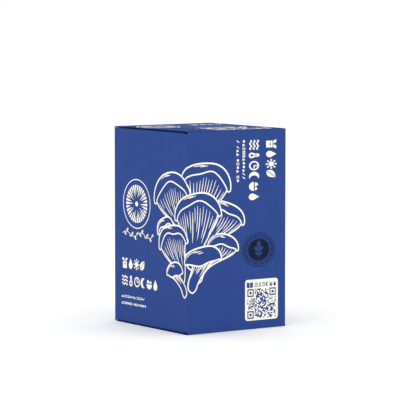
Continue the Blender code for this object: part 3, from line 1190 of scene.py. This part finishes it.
def smooth_data(name, mesh):
    """The finished mesh data of a bmesh, with every face smooth."""
    for face in mesh.faces:
        face.smooth = True
    return mesh_data(name, mesh)


def colonised_sawdust():
    """White, matt and cottony, in soft patches, with brown specks where the mycelium is thin."""
    material, tree, shader = finish("sawdust grown through with mycelium", Roughness=0.95, Sheen_Weight=0.25)
    cotton = blend_colours(tree, grain(tree, 7 * MM), "E2DACA", "F7F4EC")
    sawdust = blend_colours(tree, grain(tree, 2 * MM), "7A5A38", "A98558")
    thin = spread(tree, grain(tree, 16 * MM, 2.0), -0.25, 0.25)
    fine = maths(tree, "ADD", grain(tree, 2.4 * MM, 5.0, 0.75), thin)
    specks = add(tree, "ShaderNodeMapRange", {"Value": fine, "From Min": 0.62, "From Max": 0.7})
    mixed = add(tree, "ShaderNodeMix", {"Factor": specks.outputs["Result"]}, data_type="RGBA")
    tree.links.new(cotton, mixed.inputs[6])
    tree.links.new(sawdust, mixed.inputs[7])
    tree.links.new(mixed.outputs[2], shader.inputs["Base Color"])
    emboss(tree, shader, grain(tree, 1.6 * MM, 6.0, 0.7), 0.5 * MM)
    return material


block_low, block_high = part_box("grow_block")
block_mesh = soft_brick(block_low, block_high, BLOCK_ROUNDING, BLOCK_STEP)
for vert in block_mesh.verts:
    vert.co -= vert.normal * LUMP_DEPTH * (0.5 + 0.5 * noise.fractal(vert.co / LUMP, 0.9, 2.1, 5))
block = add_object("block", smooth_data("block", block_mesh), colonised_sawdust())
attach(block, "carton")
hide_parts("grow_block")


# --- Grow bag ---
# A clear polypropylene bag that clings to the block in upright creases. Its long head is folded flat on top
# of the block, to and fro in three loose layers, and springs a little at the folds.

FILM = 0.18 * MM
BAG_ROUNDING = 8 * MM
BAG_STEP = 2.4 * MM
CREASE_DEPTH = 0.45 * MM
HEAD_LEVELS = (180.7 * MM, 174.4 * MM, 168.6 * MM)
HEAD_INSET = 12 * MM  # each lower layer ends this far inside the one above
HEAD_STEP = 1.6 * MM
RUMPLE = 15 * MM
RUMPLE_DEPTH = 4.2 * MM
HEAD_START = 18 * MM  # how far below the bag's top the head begins, up the back of the block
HEAD_BEND = 3 * MM
HOLD_EDGE = 1 * MM  # the film stays flat this far past the patch and the tape
HOLD_FADE = 12 * MM
bag_low, bag_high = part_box("grow_bag")
patch_low, patch_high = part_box("filter_patch")
tape_low, tape_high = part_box("closing_tape")


def clear_film():
    """Clear plastic film gone milky with damp: see-through, shiny, with fine crackled creases."""
    material, tree, shader = finish("clear polypropylene film, creased", IOR=1.49, Specular_IOR_Level=0.6)
    tree.links.new(blend_colours(tree, grain(tree, 20 * MM), "E4E8EA", "F6F8F8"), shader.inputs["Base Color"])
    tree.links.new(spread(tree, grain(tree, 12 * MM), 0.1, 0.24), shader.inputs["Roughness"])
    tree.links.new(spread(tree, grain(tree, 26 * MM), 0.12, 0.3), shader.inputs["Alpha"])
    place = add(tree, "ShaderNodeTexCoord")
    cells = {"Vector": place.outputs["Object"], "Scale": 1 / (9 * MM)}
    crackle = add(tree, "ShaderNodeTexVoronoi", cells, feature="DISTANCE_TO_EDGE").outputs["Distance"]
    creases = add(tree, "ShaderNodeMapRange", {"Value": crackle, "From Max": 0.16})
    emboss(tree, shader, creases.outputs["Result"], 1.2 * MM)
    return material


def head_path():
    """(y, z) points of the folded head: up the back of the block, then to and fro over it."""
    back = bag_high.y - 1 * MM
    front = block_low.y + BAG_ROUNDING
    rise = HEAD_BEND
    path = [(back, bag_high.z - HEAD_START + k * HEAD_STEP) for k in range(8)]
    top = HEAD_LEVELS[0]
    path += [(back - rise + rise * cos(turn), top - rise + rise * sin(turn)) for turn in (0.4, 0.8, 1.2)]
    ends = (front, back - HEAD_INSET, front + HEAD_INSET)
    starts = (back - rise, front, back - HEAD_INSET)
    for k, (level, start, end) in enumerate(zip(HEAD_LEVELS, starts, ends)):
        bend = (level - HEAD_LEVELS[k + 1]) / 2 if k < 2 else 0
        hand = -1 if k % 2 == 0 else 1
        straight_end = end - hand * bend
        count = round(abs(straight_end - start) / HEAD_STEP)
        path += [(start + (straight_end - start) * i / count, level) for i in range(count + 1)]
        if bend:
            turns = [pi * i / 8 for i in range(1, 8)]
            for turn in turns:
                path.append((straight_end + hand * bend * sin(turn), level - bend + bend * cos(turn)))
    return path


def held_down(x, y):
    """0 under the patch and the tape, where the film is flat, rising to 1 beside them."""
    away = 1.0
    for low, high in ((patch_low, patch_high), (tape_low, tape_high)):
        off = max(low.x - x, x - high.x, low.y - y, y - high.y)
        away = min(away, max(off - HOLD_EDGE, 0) / HOLD_FADE)
    return away


def folded_head():
    """The head as one long sheet, rumpled where nothing holds it flat, with the film's own thickness."""
    mesh = bmesh.new()
    half = min(-bag_low.x, bag_high.x) - BAG_ROUNDING
    columns = round(2 * half / HEAD_STEP)
    grid = []
    for y, z in head_path():
        row = []
        for i in range(columns + 1):
            x = -half + 2 * half * i / columns
            spot = Vector((x, y, z * 3)) / RUMPLE
            sway = 0.5 + 0.5 * noise.noise(spot)
            ridge = max(1 - 5 * abs(noise.noise(spot * 0.8 + Vector((3, 7, 1)))), 0)
            pleat = max(1 - 4 * abs(noise.noise(Vector((spot.x * 0.4, spot.y * 1.7, spot.z + 5)))), 0)
            loose = held_down(x, y) if z > HEAD_LEVELS[0] - 1 * MM else 1
            fall = RUMPLE_DEPTH * loose * (0.55 * sway + 0.3 * (1 - ridge) + 0.15 * (1 - pleat))
            edge = x * (1 - 0.03 * noise.noise(Vector((0, y, z * 3)) / RUMPLE) - 0.03)
            row.append(mesh.verts.new((edge, y, z - fall if y < bag_high.y - 3 * MM else z)))
        grid.append(row)
    for here, there in zip(grid, grid[1:]):
        for i in range(columns):
            mesh.faces.new((here[i], here[i + 1], there[i + 1], there[i]))
    bmesh.ops.solidify(mesh, geom=mesh.faces[:] + mesh.edges[:] + mesh.verts[:], thickness=FILM)
    bmesh.ops.recalc_face_normals(mesh, faces=mesh.faces)
    return mesh


skin_high = Vector((bag_high.x, bag_high.y, block_high.z + 0.6 * MM))
bag_mesh = soft_brick(bag_low, skin_high, BAG_ROUNDING, BAG_STEP)
for vert in bag_mesh.verts:
    fold = abs(noise.noise(Vector((vert.co.x, vert.co.y, vert.co.z * 0.18)) / (6 * MM)))
    vert.co -= vert.normal * CREASE_DEPTH * (1 - fold)
bag_mesh.from_mesh(mesh_data("head", folded_head()))
bag = add_object("bag_film", smooth_data("bag_film", bag_mesh), clear_film())
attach(bag, "carton")
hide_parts("grow_bag")


# --- Filter patch ---
# A square of white microporous fleece, welded to the film by a knurled border, that lets the block breathe.
# The fleece inside the border is pillowed, with rows of small pressed dimples.

PATCH_CORNER = 4 * MM
PATCH_STEP = 0.5 * MM
WELD = 4 * MM
KNURL = 1.0 * MM
DIMPLE = 3.8 * MM
WELD_SHARE = 0.45  # the welded border's height, as a share of the patch's
KNURL_SHARE = 0.12
DIMPLE_SHARE = 0.75
PILLOW_RISE = 2 * MM


def rounded_sheet(low, high, rounding, step, height):
    """A slab with round corners. height gives the top's share of the thickness, from x, y and the way in."""
    mesh = bmesh.new()
    middle = (low + high) / 2
    half = (high - low) / 2
    counts = [round(2 * side / step) for side in half[:2]]
    grid = []
    for i in range(counts[0] + 1):
        column = []
        for j in range(counts[1] + 1):
            flat = Vector(((2 * i / counts[0] - 1) * half.x, (2 * j / counts[1] - 1) * half.y))
            over = Vector([max(abs(flat[k]) - (half[k] - rounding), 0) for k in range(2)])
            if over.x > 0 and over.y > 0:
                over = over * max(over) / over.length
                flat = Vector([(half[k] - rounding + over[k]) * (1 if flat[k] > 0 else -1) for k in range(2)])
            rim = min(half.x - abs(flat.x), half.y - abs(flat.y))
            if over.length:
                rim = min(rim, rounding - over.length)
            share = height(flat.x, flat.y, rim)
            place = Vector((middle.x + flat.x, middle.y + flat.y))
            ends = (low.z, low.z + (high.z - low.z) * share)
            column.append([mesh.verts.new((*place, z)) for z in ends])
        grid.append(column)
    border = []
    for i in range(counts[0]):
        for j in range(counts[1]):
            cells = (grid[i][j], grid[i + 1][j], grid[i + 1][j + 1], grid[i][j + 1])
            mesh.faces.new([cell[1] for cell in cells])
            mesh.faces.new([cell[0] for cell in reversed(cells)])
    border += [grid[i][0] for i in range(counts[0])]
    border += [grid[counts[0]][j] for j in range(counts[1])]
    border += [grid[i][counts[1]] for i in range(counts[0], 0, -1)]
    border += [grid[0][j] for j in range(counts[1], 0, -1)]
    for here, there in zip(border, border[1:] + border[:1]):
        mesh.faces.new((here[0], there[0], there[1], here[1]))
    bmesh.ops.recalc_face_normals(mesh, faces=mesh.faces)
    return mesh


def fleece_height(x, y, rim):
    """Knurled low border, then a pillow with dimples."""
    if rim < WELD:
        return WELD_SHARE + KNURL_SHARE * sin(pi * x / KNURL) * sin(pi * y / KNURL)
    pillow = min((rim - WELD) / PILLOW_RISE, 1)
    dimple = max(sin(pi * x / DIMPLE) * sin(pi * y / DIMPLE), 0) ** 2
    return WELD_SHARE + (1 - WELD_SHARE) * pillow * (1 - DIMPLE_SHARE * dimple)


def white_fleece():
    """White spunbonded fleece: matt, with a faint tangle of fibres."""
    material, tree, shader = finish("microporous white fleece", Roughness=0.9, Sheen_Weight=0.1)
    colour = blend_colours(tree, grain(tree, 0.5 * MM, 6.0), "E4E4E0", "F8F8F6")
    tree.links.new(colour, shader.inputs["Base Color"])
    emboss(tree, shader, grain(tree, 0.3 * MM, 5.0), 0.06 * MM)
    return material


patch_mesh = rounded_sheet(patch_low, patch_high, PATCH_CORNER, PATCH_STEP, fleece_height)
patch = add_object("patch_fleece", smooth_data("patch_fleece", patch_mesh), white_fleece())
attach(patch, "carton")
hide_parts("filter_patch")


# --- Closing tape ---
# A short strip of clear packing tape that holds the folded head shut. Its ends are cut to teeth by the
# dispenser, and its film and glue are a little uneven.

TAPE_TEETH = 16
TOOTH = 0.8 * MM


def clear_tape():
    """Clear film with pale amber glue: glossy, almost clear, a little uneven."""
    material, tree, shader = finish("clear packing tape, amber glue", IOR=1.49, Specular_IOR_Level=0.7)
    tree.links.new(blend_colours(tree, grain(tree, 5 * MM), "E8DDB8", "F3ECD2"), shader.inputs["Base Color"])
    tree.links.new(spread(tree, grain(tree, 3 * MM), 0.06, 0.16), shader.inputs["Roughness"])
    tree.links.new(spread(tree, grain(tree, 1.8 * MM), 0.14, 0.34), shader.inputs["Alpha"])
    emboss(tree, shader, grain(tree, 4 * MM, 2.0), 0.12 * MM)
    return material


def toothed_strip(low, high):
    """A thin strip along Y with teeth at both ends."""
    mesh = bmesh.new()
    across = [low.x + (high.x - low.x) * k / (2 * TAPE_TEETH) for k in range(2 * TAPE_TEETH + 1)]
    rim = [(x, low.y + (k % 2) * TOOTH) for k, x in enumerate(across)]
    rim += [(x, high.y - (k % 2) * TOOTH) for k, x in reversed(list(enumerate(across)))]
    base = mesh.faces.new([mesh.verts.new((x, y, low.z)) for x, y in rim])
    raised = bmesh.ops.extrude_face_region(mesh, geom=[base])["geom"]
    for vert in (item for item in raised if isinstance(item, bmesh.types.BMVert)):
        vert.co.z = high.z
    bmesh.ops.recalc_face_normals(mesh, faces=mesh.faces)
    return mesh_data("tape", mesh)


tape = add_object("tape_strip", toothed_strip(tape_low, tape_high), clear_tape())
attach(tape, "carton")
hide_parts("closing_tape")
